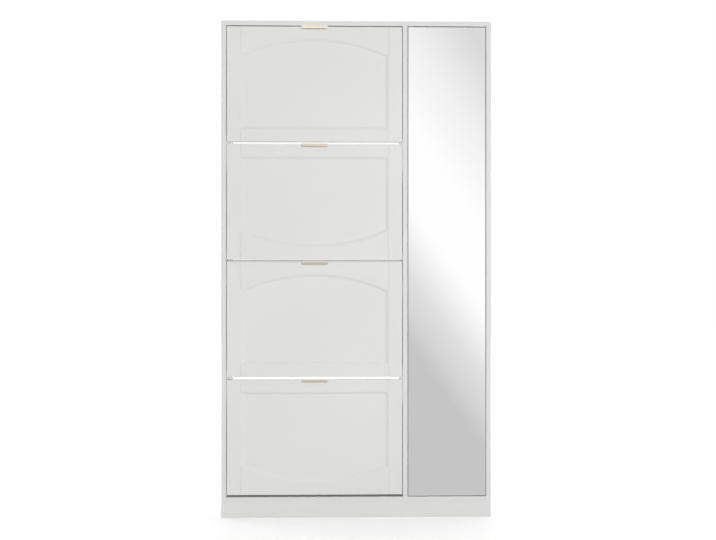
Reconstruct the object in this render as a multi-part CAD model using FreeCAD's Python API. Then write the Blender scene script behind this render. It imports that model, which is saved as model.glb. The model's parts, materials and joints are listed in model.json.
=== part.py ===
"""Tall shoe cabinet: four flip-down drawers beside a full-height mirror door.

Millimetres. +X is to the right of someone who faces the cabinet, +Y goes into it, +Z is up.
The origin is at the middle of the bottom of the whole object, pulls included.
"""

import FreeCAD
import Part
import collections
import math
import os

# Carcass: overall size, board thickness and the split between the two bays
WIDTH = 1000.0
HEIGHT = 1840.0
DEPTH = 240.0
BOARD = 18.0
EDGE_EASE = 0.8
PLINTH_HEIGHT = 58.0
DRAWER_BAY_WIDTH = 654.0
RAIL_HEIGHT = 80.0
BAY_SHELF_SETBACK = 24.0
BAY_SHELF_LIFT = 5.2
BAY_RAIL_LIP = 3.6
WALL_HOLE_SPACING = 500.0
WALL_HOLE_RADIUS = 3.0

# Thin back sheet of the mirror bay, let into a rebate all round
SHEET = 3.0
REBATE = 8.0
SHEET_PLAY = 0.5

# Drawer fronts and the gaps around them
DRAWER_COUNT = 4
DRAWER_GAP = 9.0
TOP_GAP = 3.0
BOTTOM_GAP = 8.0
SIDE_GAP = 2.0

# Routed pattern of a drawer front
STILE = 48.0
RAIL = 45.0
ARCH_RISE = 60.0
STEP = 1.5
RECESS = 5.0
BEVEL = 16.0
GROOVE = 2.0
GROOVE_OVERRUN = 3.0

# Bent pull hooked over the top edge of a drawer front
PULL_LENGTH = 98.0
PULL_REACH = 10.0
PULL_SHEET = 2.0
PULL_LIP = 11.5
PULL_TAIL = 24.0
PULL_BEND = 3.0
PULL_SCREW_SPACING = 64.0

# Where a drawer turns, measured from the carcass front and from the drawer's bottom edge, and how far
PIVOT_SETBACK = 30.0
PIVOT_RISE = 140.0
SWING_DEGREES = 60.0
SWING_CLEARANCE = 7.0

# Side plates of the flip rack
PLATE = 4.0
PLATE_STANDOFF = 6.0
PLATE_LIFT = 24.0
PLATE_TOP_DROP = 63.0
PLATE_BACK_RISE = 120.0
PLATE_TAIL_DROP = 72.0
PLATE_CORNER = 30.0
PLATE_MARGIN = 6.0
FLANGE = 4.0
FLANGE_WIDTH = 20.0
FLANGE_SCREWS = 3
RIB = 2.5
RIB_HEIGHT = 8.0
RIB_CLEARANCE = 0.15

# Boards of the flip rack
RACK_BOARD = 6.0
RACK_TOP_MARGIN = 24.0

# Pivot stud, and the stop peg that runs in an arc slot of the plate
STUD_RADIUS = 6.0
STUD_FLANGE_RADIUS = 11.0
STUD_FLANGE = 2.0
STUD_RUNNING_CLEARANCE = 0.05
BOSS_WALL = 5.0
SIDE_PLAY = 0.5
PEG_RADIUS = 4.0
PEG_CLEARANCE = 0.3
SLOT_RADIUS = 40.0
TAIL_RADIUS = 4.0

# Fasteners, which all bite less than half a board deep into a face
BITE = 8.5
FIT = 0.1
SCREW_RADIUS = 1.75
SCREW_LENGTH = 12.0
SCREW_HEAD_RADIUS = 3.6
SCREW_HEAD = 2.2
RECESS_WIDTH = 0.8
CAM_BOLT_RADIUS = 3.0
CAM_DISC_RADIUS = 7.5
CAM_DISC_DEPTH = 13.5
CAM_SETBACK = 24.0
CAM_INSET = 60.0
DOWEL_RADIUS = 4.0
DOWEL_LENGTH = 29.0
DOWEL_STEP = 34.0
PLINTH_DOWELS = 4
RAIL_FASTENER_INSET = 20.0

# Shelves behind the mirror
SHELF_COUNT = 5
SHELF_SETBACK = 40.0
SHELF_PLAY = 1.0
PIN_RADIUS = 2.5
PIN_INSET = 32.0
PIN_TONGUE = 8.0
PIN_TONGUE_WIDTH = 7.0
PIN_TONGUE_HEIGHT = 4.0
PIN_PITCH = 32.0

# Mirror door
GLASS = 3.0
GLASS_MARGIN = 0.5
DOOR_BOARD = 15.0
DOOR_GAP = 3.0

# Concealed hinges
HINGE_EDGE = 22.5
CUP_RADIUS = 17.5
CUP_DEPTH = 12.0
CUP_WALL = 0.8
CUP_FLANGE = 1.2
CUP_FLANGE_HEIGHT = 60.0
CUP_SCREW_SPACING = 46.0
CUP_SCREW_LENGTH = 10.0
HINGE_PIN_RADIUS = 1.5
HINGE_RUNNING_CLEARANCE = 0.05
KNUCKLE_RADIUS = 2.6
KNUCKLE_CLEARANCE = 0.4
ARM_SHEET = 2.5
ARM_WIDTH = 14.0
ARM_BACKSET = 12.5
ARM_DEPTH = 28.0
ARM_BODY = 10.0
ARM_BODY_LENGTH = 38.0
MOUNT = 4.0
MOUNT_WIDTH = 18.0
MOUNT_WING = 48.0
MOUNT_WING_DEPTH = 16.0
MOUNT_SCREW_SPACING = 32.0

# Push latch of the mirror door
LATCH_WIDTH = 22.0
LATCH_HEIGHT = 18.0
LATCH_LENGTH = 62.0
LATCH_EAR = 12.0
LATCH_EAR_THICKNESS = 4.0
PLUNGER_RADIUS = 4.0
PLUNGER_CLEARANCE = 0.1
PLUNGER_STICKOUT = 6.0
PLUNGER_TRAVEL = 4.0
PLUNGER_LENGTH = 34.0
PLUNGER_TIP = 1.5
STRIKE_RADIUS = 6.0
STRIKE = 1.0
STRIKE_GAP = 0.3

# Planes that follow from the sizes above
V = FreeCAD.Vector
X = V(1, 0, 0)
Y = V(0, 1, 0)
Z = V(0, 0, 1)
FRONT = -(DEPTH - PULL_REACH) / 2
BACK = FRONT + DEPTH
LEFT_INNER = -WIDTH / 2 + BOARD
RIGHT_INNER = WIDTH / 2 - BOARD
DIVIDER_LEFT = LEFT_INNER + DRAWER_BAY_WIDTH
DIVIDER_RIGHT = DIVIDER_LEFT + BOARD
FLOOR = PLINTH_HEIGHT + BOARD
CEILING = HEIGHT - BOARD

# Drawers that follow from the sizes above
DRAWER_WIDTH = DRAWER_BAY_WIDTH - 2 * SIDE_GAP
DRAWER_GAPS = TOP_GAP + (DRAWER_COUNT - 1) * DRAWER_GAP + BOTTOM_GAP
DRAWER_HEIGHT = (CEILING - FLOOR - DRAWER_GAPS) / DRAWER_COUNT
DRAWER_MIDDLE = LEFT_INNER + DRAWER_BAY_WIDTH / 2
FRONT_REAR = FRONT + BOARD
PIVOT_Y = FRONT + PIVOT_SETBACK
BAY_FRONT = FRONT + BAY_SHELF_SETBACK
BAY_BACK = BACK - BOARD
UPPER_DRAWERS = DRAWER_COUNT // 2

# Flip rack, seen from the pivot: how far back and down its plates reach, and where its boards stand
SWING_RADIUS = DEPTH - BOARD - PIVOT_SETBACK - SWING_CLEARANCE
PLATE_FRONT = BOARD - PIVOT_SETBACK
PLATE_BOTTOM = PLATE_LIFT - PIVOT_RISE
PLATE_TOP = DRAWER_HEIGHT - PIVOT_RISE - PLATE_TOP_DROP
PLATE_BACK = math.sqrt(SWING_RADIUS**2 - PLATE_TAIL_DROP**2)
PLATE_HEEL = math.sqrt(SWING_RADIUS**2 - PLATE_BOTTOM**2)
RACK_FLOOR_TOP = PLATE_BOTTOM + PLATE_MARGIN + RACK_BOARD
BACK_BOARD_FRONT = PLATE_BACK - PLATE_MARGIN - RACK_BOARD
POCKET = (BACK_BOARD_FRONT - PLATE_FRONT - RACK_BOARD) / 2
DIVIDER_FRONT = PLATE_FRONT + POCKET
RACK_LEFT = LEFT_INNER + PLATE_STANDOFF + PLATE
RACK_RIGHT = DIVIDER_LEFT - PLATE_STANDOFF - PLATE
BOSS = PLATE_STANDOFF - STUD_FLANGE - SIDE_PLAY

# Mirror bay that follows from the sizes above
COMPARTMENT = (CEILING - FLOOR - SHELF_COUNT * BOARD) / (SHELF_COUNT + 1)
FIXED_SHELF = SHELF_COUNT // 2
SHELF_FRONT = FRONT + SHELF_SETBACK
SHELF_BACK = BACK - SHEET
DOOR_LEFT = DIVIDER_RIGHT + SIDE_GAP
DOOR_RIGHT = RIGHT_INNER - SIDE_GAP
DOOR_BOTTOM = FLOOR + DOOR_GAP
DOOR_TOP = CEILING - DOOR_GAP
DOOR_REAR = FRONT + GLASS + DOOR_BOARD
HINGE_X = DOOR_RIGHT - HINGE_EDGE
HINGE_SINK = CUP_DEPTH - CUP_WALL - KNUCKLE_RADIUS - KNUCKLE_CLEARANCE
HINGE_Y = DOOR_REAR - HINGE_SINK
HINGE_BAYS = (0, FIXED_SHELF, FIXED_SHELF + 1, SHELF_COUNT)
LATCH_X = DIVIDER_RIGHT + LATCH_WIDTH / 2
LATCH_FRONT = DOOR_REAR + STRIKE + STRIKE_GAP + PLUNGER_STICKOUT

# Holes, rebates and notches waiting to be cut, by the name of the board that they go into
cuts = collections.defaultdict(list)


def drawer_bottom(n):
    """Height of the bottom edge of drawer n, counted from 1 at the top."""
    return CEILING - TOP_GAP - n * DRAWER_HEIGHT - (n - 1) * DRAWER_GAP


def shelf_bottom(i):
    """Height of the underside of mirror bay shelf i, counted from 0 at the bottom."""
    return FLOOR + (i + 1) * COMPARTMENT + i * BOARD


def bay_middle(i):
    """Height of the middle of mirror bay compartment i, counted from 0 at the bottom."""
    return FLOOR + i * (COMPARTMENT + BOARD) + COMPARTMENT / 2


def spread(first, last, count):
    """Evenly spaced values from first to last."""
    return [first + (last - first) * i / (count - 1) for i in range(count)]


def box(x0, x1, y0, y1, z0, z1):
    """A block between two opposite corners."""
    return Part.makeBox(x1 - x0, y1 - y0, z1 - z0, V(x0, y0, z0))


def board(x0, x1, y0, y1, z0, z1):
    """A board with every edge eased."""
    blank = box(x0, x1, y0, y1, z0, z1)
    return blank.makeFillet(EDGE_EASE, blank.Edges)


def rod(start, along, radius, length):
    """A round bar from a point along a direction."""
    return Part.makeCylinder(radius, length, start, along)


def fused(first, *others):
    """Several touching solids made into one."""
    return first.fuse(others).removeSplitter().Solids[0]


def machined(name, blank):
    """A board with everything cut from it that was listed under its name."""
    return blank.cut(cuts[name]).Solids[0]


def rounded(corners):
    """A closed flat wire through corners given as (point, radius), with a tangent arc at each corner."""
    edges = []
    stops = []
    for i, (corner, radius) in enumerate(corners):
        before = (corners[i - 1][0] - corner).normalize()
        after = (corners[(i + 1) % len(corners)][0] - corner).normalize()
        middle = (before + after).normalize()
        half = before.getAngle(after) / 2
        run = radius / math.tan(half)
        start = corner + before * run
        stop = corner + after * run
        bulge = corner + middle * (radius / math.sin(half) - radius)
        edges.append(Part.Arc(start, bulge, stop).toShape())
        stops.append((start, stop))
    for i, (start, stop) in enumerate(stops):
        edges.append(Part.makeLine(stops[i - 1][1], start))
    return Part.Wire(Part.__sortEdges__(edges))


def prism(wire, along):
    """A flat closed wire drawn out along a vector."""
    return Part.Face(wire).extrude(along)


def cross_recess(centre, axis, half_length, depth):
    """Two crossing slots for a driver, sunk against the axis, which points out of the head."""
    along = Z if abs(axis.z) < 0.5 else X
    across = axis.cross(along)
    slots = []
    for long_way, short_way in ((along, across), (across, along)):
        reach = long_way * half_length + short_way * RECESS_WIDTH + axis * depth
        half = V(abs(reach.x), abs(reach.y), abs(reach.z))
        low = centre - half
        high = centre + half
        slots.append(box(low.x, high.x, low.y, high.y, low.z, high.z))
    return slots


def screw(seat, inward, length):
    """A pan-head screw whose head rests on a seat, and whose shank goes inward from it."""
    shank = rod(seat, inward, SCREW_RADIUS, length)
    head = rod(seat, inward * -1, SCREW_HEAD_RADIUS, SCREW_HEAD)
    whole = fused(shank, head)
    top = seat - inward * SCREW_HEAD
    return whole.cut(cross_recess(top, inward, SCREW_HEAD_RADIUS * 0.6, SCREW_HEAD * 0.5)).Solids[0]


def screw_hole(seat, inward, length):
    """The hole that a screw turns into, with room at its tip."""
    return rod(seat, inward, SCREW_RADIUS + FIT, length + FIT)


def cam_lock(panel, edge_board, seat, inward, face):
    """A bolt and a disc that pull the end of a board against a panel.

    The seat is on the joint, midway through the end board. Inward points from the panel into that
    board, and face at its side where the disc shows.
    """
    centre = seat + inward * CAM_SETBACK
    mouth = centre + face * (BOARD / 2)
    bolt = rod(seat - inward * BITE, inward, CAM_BOLT_RADIUS, BITE + CAM_SETBACK)
    channel = rod(seat - inward * BITE, inward, CAM_BOLT_RADIUS + FIT, BITE + CAM_SETBACK + FIT)
    disc = rod(mouth, face * -1, CAM_DISC_RADIUS, CAM_DISC_DEPTH)
    slots = cross_recess(mouth, face, CAM_DISC_RADIUS * 0.7, BITE / 4)
    cuts[panel].append(channel)
    cuts[edge_board].append(channel)
    cuts[edge_board].append(rod(mouth, face * -1, CAM_DISC_RADIUS + FIT, CAM_DISC_DEPTH))
    return [bolt, disc.cut([channel] + slots).Solids[0]]


def dowel(panel, edge_board, seat, inward):
    """A dowel across the joint between a panel and the end of a board."""
    start = seat - inward * (BITE - FIT)
    hole = rod(seat - inward * BITE, inward, DOWEL_RADIUS + FIT, DOWEL_LENGTH + 2 * FIT)
    cuts[panel].append(hole)
    cuts[edge_board].append(hole)
    return rod(start, inward, DOWEL_RADIUS, DOWEL_LENGTH)


def depth_joint(panel, edge_board, x, z, y0, y1, inward, face):
    """Two cam locks and two dowels along a joint that runs from front to back."""
    cams = []
    dowels = []
    for y, step in ((y0 + CAM_INSET, DOWEL_STEP), (y1 - CAM_INSET, -DOWEL_STEP)):
        cams += cam_lock(panel, edge_board, V(x, y, z), inward, face)
        dowels.append(dowel(panel, edge_board, V(x, y + step, z), inward))
    return cams, dowels


def carcass_joints():
    """Cam locks and dowels of every joint between the boards, with their holes listed for cutting."""
    bottom_z = PLINTH_HEIGHT + BOARD / 2
    bay_z = bay_shelf_top() - BOARD / 2
    shelf_z = shelf_bottom(FIXED_SHELF) + BOARD / 2
    left_x = -WIDTH / 2 + BOARD / 2
    middle_x = DIVIDER_LEFT + BOARD / 2
    right_x = WIDTH / 2 - BOARD / 2
    joints = [
        depth_joint("left_side_panel", "bottom_panel", LEFT_INNER, bottom_z, FRONT, BACK, X, -Z),
        depth_joint("right_side_panel", "bottom_panel", RIGHT_INNER, bottom_z, FRONT, BACK, -X, -Z),
        depth_joint("left_side_panel", "drawer_bay_shelf", LEFT_INNER, bay_z, BAY_FRONT, BAY_BACK, X, -Z),
        depth_joint("divider_panel", "drawer_bay_shelf", DIVIDER_LEFT, bay_z, BAY_FRONT, BAY_BACK, -X, -Z),
        depth_joint("divider_panel", "fixed_shelf", DIVIDER_RIGHT, shelf_z, SHELF_FRONT, SHELF_BACK, X, -Z),
        depth_joint("right_side_panel", "fixed_shelf", RIGHT_INNER, shelf_z, SHELF_FRONT, SHELF_BACK, -X, -Z),
        depth_joint("bottom_panel", "divider_panel", middle_x, FLOOR, FRONT, BACK, Z, X),
        depth_joint("top_panel", "divider_panel", middle_x, CEILING, FRONT, BACK, -Z, X),
        depth_joint("top_panel", "left_side_panel", left_x, CEILING, FRONT, BACK, -Z, X),
        depth_joint("top_panel", "right_side_panel", right_x, CEILING, FRONT, BACK, -Z, -X),
    ]
    cams = []
    dowels = []
    for joint_cams, joint_dowels in joints:
        cams += joint_cams
        dowels += joint_dowels
    rail_y = BACK - BOARD / 2
    for rail, low in back_rails().items():
        for panel, x, inward in (("left_side_panel", LEFT_INNER, X), ("divider_panel", DIVIDER_LEFT, -X)):
            high = low + RAIL_HEIGHT - RAIL_FASTENER_INSET
            cams += cam_lock(panel, rail, V(x, rail_y, high), inward, Y)
            dowels.append(dowel(panel, rail, V(x, rail_y, low + RAIL_FASTENER_INSET), inward))
    for plinth, y in (("front_plinth", FRONT + BOARD / 2), ("rear_plinth", rail_y)):
        for x in spread(LEFT_INNER + CAM_INSET, RIGHT_INNER - CAM_INSET, PLINTH_DOWELS):
            dowels.append(dowel("bottom_panel", plinth, V(x, y, PLINTH_HEIGHT), -Z))
    return {"cam_locks": cams, "dowels": dowels}


def bay_shelf_top():
    """Height of the top of the drawer bay's fixed shelf, just over the drawer front below it."""
    return drawer_bottom(UPPER_DRAWERS + 1) + DRAWER_HEIGHT + BAY_SHELF_LIFT


def back_rails():
    """Height of the bottom of each rail across the back of the drawer bay."""
    return {
        "top_back_rail": CEILING - RAIL_HEIGHT,
        "middle_back_rail": bay_shelf_top() + BAY_RAIL_LIP - RAIL_HEIGHT,
        "bottom_back_rail": FLOOR,
    }


def carcass_boards():
    """Panels, shelves, rails and plinths, with all that was listed cut from them."""
    bay_z = bay_shelf_top()
    shelf_z = shelf_bottom(FIXED_SHELF)
    left = -WIDTH / 2
    right = WIDTH / 2
    blanks = {
        "left_side_panel": board(left, LEFT_INNER, FRONT, BACK, 0, CEILING),
        "right_side_panel": board(RIGHT_INNER, right, FRONT, BACK, 0, CEILING),
        "divider_panel": board(DIVIDER_LEFT, DIVIDER_RIGHT, FRONT, BACK, FLOOR, CEILING),
        "top_panel": board(left, right, FRONT, BACK, CEILING, HEIGHT),
        "bottom_panel": board(LEFT_INNER, RIGHT_INNER, FRONT, BACK, PLINTH_HEIGHT, FLOOR),
        "front_plinth": board(left, right, FRONT, FRONT + BOARD, 0, PLINTH_HEIGHT),
        "rear_plinth": board(LEFT_INNER, RIGHT_INNER, BACK - BOARD, BACK, 0, PLINTH_HEIGHT),
        "drawer_bay_shelf": board(LEFT_INNER, DIVIDER_LEFT, BAY_FRONT, BAY_BACK, bay_z - BOARD, bay_z),
        "fixed_shelf": board(DIVIDER_RIGHT, RIGHT_INNER, SHELF_FRONT, SHELF_BACK, shelf_z, shelf_z + BOARD),
    }
    for rail, low in back_rails().items():
        blanks[rail] = board(LEFT_INNER, DIVIDER_LEFT, BACK - BOARD, BACK, low, low + RAIL_HEIGHT)
    notch = box(left, right, FRONT, FRONT + BOARD, 0, PLINTH_HEIGHT)
    rebate = box(
        DIVIDER_RIGHT - REBATE, RIGHT_INNER + REBATE, BACK - SHEET, BACK, FLOOR - REBATE, CEILING + REBATE
    )
    for name in ("left_side_panel", "right_side_panel"):
        cuts[name].append(notch)
    for name in ("right_side_panel", "divider_panel", "top_panel", "bottom_panel"):
        cuts[name].append(rebate)
    for side in (-1, 1):
        place = V(DRAWER_MIDDLE + side * WALL_HOLE_SPACING / 2, BACK - BOARD, CEILING - RAIL_HEIGHT / 2)
        cuts["top_back_rail"].append(rod(place, Y, WALL_HOLE_RADIUS, BOARD))
    nodes = {name: [machined(name, blank)] for name, blank in blanks.items()}
    nodes["back_sheet"] = [
        box(
            DIVIDER_RIGHT - REBATE + SHEET_PLAY,
            RIGHT_INNER + REBATE - SHEET_PLAY,
            BACK - SHEET,
            BACK,
            FLOOR - REBATE + SHEET_PLAY,
            CEILING + REBATE - SHEET_PLAY,
        )
    ]
    return nodes


def loose_shelves():
    """Shelves that lie on pins, and the pins in their rows of holes."""
    shelves = []
    pins = []
    walls = (("divider_panel", DIVIDER_RIGHT, X), ("right_side_panel", RIGHT_INNER, -X))
    for i in range(SHELF_COUNT):
        if i == FIXED_SHELF:
            continue
        low = shelf_bottom(i)
        shelves.append(
            board(
                DIVIDER_RIGHT + SHELF_PLAY,
                RIGHT_INNER - SHELF_PLAY,
                SHELF_FRONT,
                SHELF_BACK - SHELF_PLAY,
                low,
                low + BOARD,
            )
        )
        for panel, x, inward in walls:
            for y in (SHELF_FRONT + PIN_INSET, SHELF_BACK - PIN_INSET):
                axis = V(x, y, low - PIN_RADIUS)
                pin = rod(axis - inward * (BITE - FIT), inward, PIN_RADIUS, BITE - FIT)
                end = x + inward.x * PIN_TONGUE
                half = PIN_TONGUE_WIDTH / 2
                tongue = box(min(x, end), max(x, end), y - half, y + half, low - PIN_TONGUE_HEIGHT, low)
                pins.append(fused(tongue, pin))
                for step in (-PIN_PITCH, 0, PIN_PITCH):
                    cuts[panel].append(rod(axis + Z * step - inward * BITE, inward, PIN_RADIUS + FIT, BITE))
    return {"loose_shelves": shelves, "shelf_pins": pins}


def routed_outline(n, inset, y):
    """Outline of the sunk panel of drawer front n, a distance inside its outer edge, in the plane at y.

    The arch is at the top of the odd fronts and at the bottom of the even ones.
    """
    middle = drawer_bottom(n) + DRAWER_HEIGHT / 2
    up = 1 if n % 2 else -1
    half_chord = DRAWER_WIDTH / 2 - STILE
    radius = (half_chord**2 + ARCH_RISE**2) / (2 * ARCH_RISE)
    centre = DRAWER_HEIGHT / 2 - RAIL - radius
    half = half_chord - inset
    straight = -DRAWER_HEIGHT / 2 + RAIL + inset
    spring = centre + math.sqrt((radius - inset) ** 2 - half**2)
    corners = ((-half, straight), (half, straight), (half, spring), (-half, spring))
    a, b, c, d = (V(DRAWER_MIDDLE + across, y, middle + up * rise) for across, rise in corners)
    apex = V(DRAWER_MIDDLE, y, middle + up * (centre + radius - inset))
    edges = [Part.makeLine(a, b), Part.makeLine(b, c), Part.Arc(c, apex, d).toShape(), Part.makeLine(d, a)]
    return Part.Wire(edges)


def stile_grooves(n):
    """The short V grooves that carry the sides of the sunk panel on to the edges of drawer front n."""
    low = drawer_bottom(n)
    straight_end = RAIL + GROOVE_OVERRUN
    arched_end = RAIL + ARCH_RISE + GROOVE_OVERRUN
    lower, upper = (straight_end, arched_end) if n % 2 else (arched_end, straight_end)
    grooves = []
    for x in (DRAWER_MIDDLE - DRAWER_WIDTH / 2 + STILE, DRAWER_MIDDLE + DRAWER_WIDTH / 2 - STILE):
        for start, length in ((low, lower), (low + DRAWER_HEIGHT - upper, upper)):
            near = V(x - GROOVE, FRONT - GROOVE / 2, start)
            far = V(x + GROOVE, FRONT - GROOVE / 2, start)
            point = V(x, FRONT + GROOVE / 2, start)
            grooves.append(prism(Part.makePolygon([near, far, point, near]), Z * length))
    return grooves


def drawer_front(n, screw_holes):
    """Front board of drawer n, with its stepped and bevelled panel, grooves, and screw holes behind."""
    low = drawer_bottom(n)
    left = DRAWER_MIDDLE - DRAWER_WIDTH / 2
    blank = board(left, left + DRAWER_WIDTH, FRONT, FRONT_REAR, low, low + DRAWER_HEIGHT)
    step = prism(routed_outline(n, 0, FRONT), Y * STEP)
    mouth = routed_outline(n, 0, FRONT + STEP)
    bed = routed_outline(n, BEVEL, FRONT + RECESS)
    slope = Part.makeLoft([mouth, bed], True, True)
    return blank.cut([step, slope] + stile_grooves(n) + screw_holes).Solids[0]


def pull(n):
    """Bent metal pull of drawer n: a tail behind the front, a flat over its top edge and a lip in front."""
    top = drawer_bottom(n) + DRAWER_HEIGHT
    start = DRAWER_MIDDLE - PULL_LENGTH / 2
    rear = FRONT_REAR + PULL_SHEET
    nose = FRONT - PULL_REACH
    roof = top + PULL_SHEET
    inner_bend = PULL_BEND - PULL_SHEET
    corners = (
        (rear, top - PULL_TAIL, PULL_SHEET / 3),
        (rear, roof, PULL_SHEET / 2),
        (nose, roof, PULL_BEND),
        (nose, roof - PULL_LIP, PULL_SHEET / 3),
        (nose + PULL_SHEET, roof - PULL_LIP, PULL_SHEET / 3),
        (nose + PULL_SHEET, top, inner_bend),
        (FRONT_REAR, top, EDGE_EASE),
        (FRONT_REAR, top - PULL_TAIL, PULL_SHEET / 3),
    )
    wire = rounded([(V(start, y, z), radius) for y, z, radius in corners])
    bent = prism(wire, X * PULL_LENGTH)
    holes = [rod(seat, Y, SCREW_RADIUS + FIT, PULL_SHEET) for seat in pull_screw_seats(n, FRONT_REAR)]
    return bent.cut(holes).Solids[0]


def pull_screw_seats(n, y):
    """Where the two screws of a pull stand, in the plane at y."""
    z = drawer_bottom(n) + DRAWER_HEIGHT - PULL_TAIL / 2
    half = PULL_SCREW_SPACING / 2
    return [V(DRAWER_MIDDLE - half, y, z), V(DRAWER_MIDDLE + half, y, z)]


def plate_faces(hand):
    """Outer and inner face of a side plate: hand is 1 for the left plate and -1 for the right one."""
    wall = LEFT_INNER if hand > 0 else DIVIDER_LEFT
    outer = wall + hand * PLATE_STANDOFF
    return outer, outer + hand * PLATE


def flange_screw_seats(n, hand, y):
    """Where the screws of one side plate stand, in the plane at y."""
    inner = plate_faces(hand)[1]
    x = inner + hand * FLANGE_WIDTH / 2
    pivot = drawer_bottom(n) + PIVOT_RISE
    low, high = flange_ends()
    return [V(x, y, pivot + z) for z in spread(low + FLANGE_WIDTH, high - FLANGE_WIDTH, FLANGE_SCREWS)]


def flange_ends():
    """Bottom and top of the plate's front flange, from the pivot."""
    return RACK_FLOOR_TOP + 2 * RIB, PLATE_TOP - PLATE_CORNER


def plate_top_at(y):
    """Height of the plate's sloping top edge at a distance behind the pivot."""
    return PLATE_TOP + (PLATE_BACK_RISE - PLATE_TOP) * (y - PLATE_FRONT) / (PLATE_BACK - PLATE_FRONT)


def rack_boards():
    """Each board of the flip rack as y0, y1, z0, z1 from the pivot."""
    divider_rear = DIVIDER_FRONT + RACK_BOARD
    back_rear = BACK_BOARD_FRONT + RACK_BOARD
    floor_front = PLATE_FRONT + FLANGE
    floor_rear = PLATE_HEEL - PLATE_MARGIN
    divider_top = plate_top_at(divider_rear) - RACK_TOP_MARGIN
    back_top = plate_top_at(back_rear) - RACK_TOP_MARGIN
    return {
        "floor_board": (floor_front, floor_rear, RACK_FLOOR_TOP - RACK_BOARD, RACK_FLOOR_TOP),
        "pocket_divider": (DIVIDER_FRONT, divider_rear, RACK_FLOOR_TOP + 2 * RIB, divider_top),
        "back_board": (BACK_BOARD_FRONT, back_rear, PLATE_MARGIN - PLATE_TAIL_DROP, back_top),
    }


def rack_ribs(board_ends):
    """The two ribs that hold one board of the rack, as y0, y1, z0, z1 from the pivot."""
    y0, y1, z0, z1 = board_ends
    if y1 - y0 > z1 - z0:
        low = z0 - RIB_CLEARANCE
        high = z1 + RIB_CLEARANCE
        return (y0, y1, low - RIB, low), (y0, y1, high, high + RIB)
    near = y0 - RIB_CLEARANCE
    far = y1 + RIB_CLEARANCE
    return (near - RIB, near, z0, z1), (far, far + RIB, z0, z1)


def arc_slot(start_x, pivot, width_x):
    """The slot that the stop peg runs in, round the pivot, with a round end at each end of the swing."""
    half_width = PEG_RADIUS + PEG_CLEARANCE
    end = math.radians(SWING_DEGREES / 2) + PEG_CLEARANCE / SLOT_RADIUS

    def at(radius, angle):
        return V(start_x, PIVOT_Y + radius * math.cos(angle), pivot + radius * math.sin(angle))

    def cap(angle, way):
        return at(SLOT_RADIUS, angle) + V(0, -math.sin(angle), math.cos(angle)) * (way * half_width)

    outer = SLOT_RADIUS + half_width
    inner = SLOT_RADIUS - half_width
    arcs = [
        Part.Arc(at(outer, -end), at(outer, 0), at(outer, end)),
        Part.Arc(at(outer, end), cap(end, 1), at(inner, end)),
        Part.Arc(at(inner, end), at(inner, 0), at(inner, -end)),
        Part.Arc(at(inner, -end), cap(-end, -1), at(outer, -end)),
    ]
    return prism(Part.Wire([arc.toShape() for arc in arcs]), X * width_x)


def side_plate(n, hand):
    """Moulded side plate of a flip rack: web, pivot boss, ribs for the boards, flange for the front."""
    pivot = drawer_bottom(n) + PIVOT_RISE
    outer, inner = plate_faces(hand)
    web_x = min(outer, inner)
    corners = (
        (PLATE_FRONT, PLATE_BOTTOM, PLATE_MARGIN),
        (PLATE_FRONT, PLATE_TOP, PLATE_CORNER),
        (PLATE_BACK, PLATE_BACK_RISE, PLATE_CORNER),
        (PLATE_BACK, -PLATE_TAIL_DROP, PLATE_CORNER / 2),
        (PLATE_HEEL, PLATE_BOTTOM, PLATE_CORNER / 2),
    )
    outline = rounded([(V(web_x, PIVOT_Y + y, pivot + z), radius) for y, z, radius in corners])
    web = prism(outline, X * PLATE)
    axis = X * hand
    centre = V(outer, PIVOT_Y, pivot)
    boss = rod(centre - axis * BOSS, axis, STUD_RADIUS + BOSS_WALL, BOSS + PLATE / 2)
    low, high = flange_ends()
    flange_x = (inner - hand * PLATE / 2, inner + hand * FLANGE_WIDTH)
    flange = box(
        min(flange_x), max(flange_x), FRONT_REAR, FRONT_REAR + FLANGE, pivot + low, pivot + high
    )
    rib_x = (inner - hand * PLATE / 2, inner + hand * RIB_HEIGHT)
    ribs = []
    for ends in rack_boards().values():
        for y0, y1, z0, z1 in rack_ribs(ends):
            ribs.append(box(min(rib_x), max(rib_x), PIVOT_Y + y0, PIVOT_Y + y1, pivot + z0, pivot + z1))
    whole = fused(web, boss, flange, *ribs)
    bore_radius = STUD_RADIUS + STUD_RUNNING_CLEARANCE
    bore = rod(centre - axis * PLATE_STANDOFF, axis, bore_radius, PLATE_STANDOFF + PLATE)
    holes = [rod(seat, Y, SCREW_RADIUS + FIT, FLANGE) for seat in flange_screw_seats(n, hand, FRONT_REAR)]
    return whole.cut([bore, arc_slot(web_x, pivot, PLATE)] + holes).Solids[0]


def pivots(n):
    """Pivot stud and stop peg of each side of drawer n, seated in the side panel and in the divider."""
    pivot = drawer_bottom(n) + PIVOT_RISE
    angle = math.radians(SWING_DEGREES / 2)
    studs = []
    pegs = []
    for panel, x, axis in (("left_side_panel", LEFT_INNER, X), ("divider_panel", DIVIDER_LEFT, -X)):
        through = PLATE_STANDOFF + PLATE + SIDE_PLAY
        centre = V(x, PIVOT_Y, pivot)
        tail = rod(centre - axis * (BITE - FIT), axis, TAIL_RADIUS, BITE)
        flange = rod(centre, axis, STUD_FLANGE_RADIUS, STUD_FLANGE)
        shaft = rod(centre, axis, STUD_RADIUS, through)
        studs.append(fused(flange, shaft, tail))
        cuts[panel].append(rod(centre - axis * BITE, axis, TAIL_RADIUS + FIT, BITE))
        stop = centre + Y * (SLOT_RADIUS * math.cos(angle)) + Z * (SLOT_RADIUS * math.sin(angle))
        pegs.append(rod(stop - axis * (BITE - FIT), axis, PEG_RADIUS, BITE - FIT + through))
        cuts[panel].append(rod(stop - axis * BITE, axis, PEG_RADIUS + FIT, BITE))
    return studs, pegs


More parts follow.
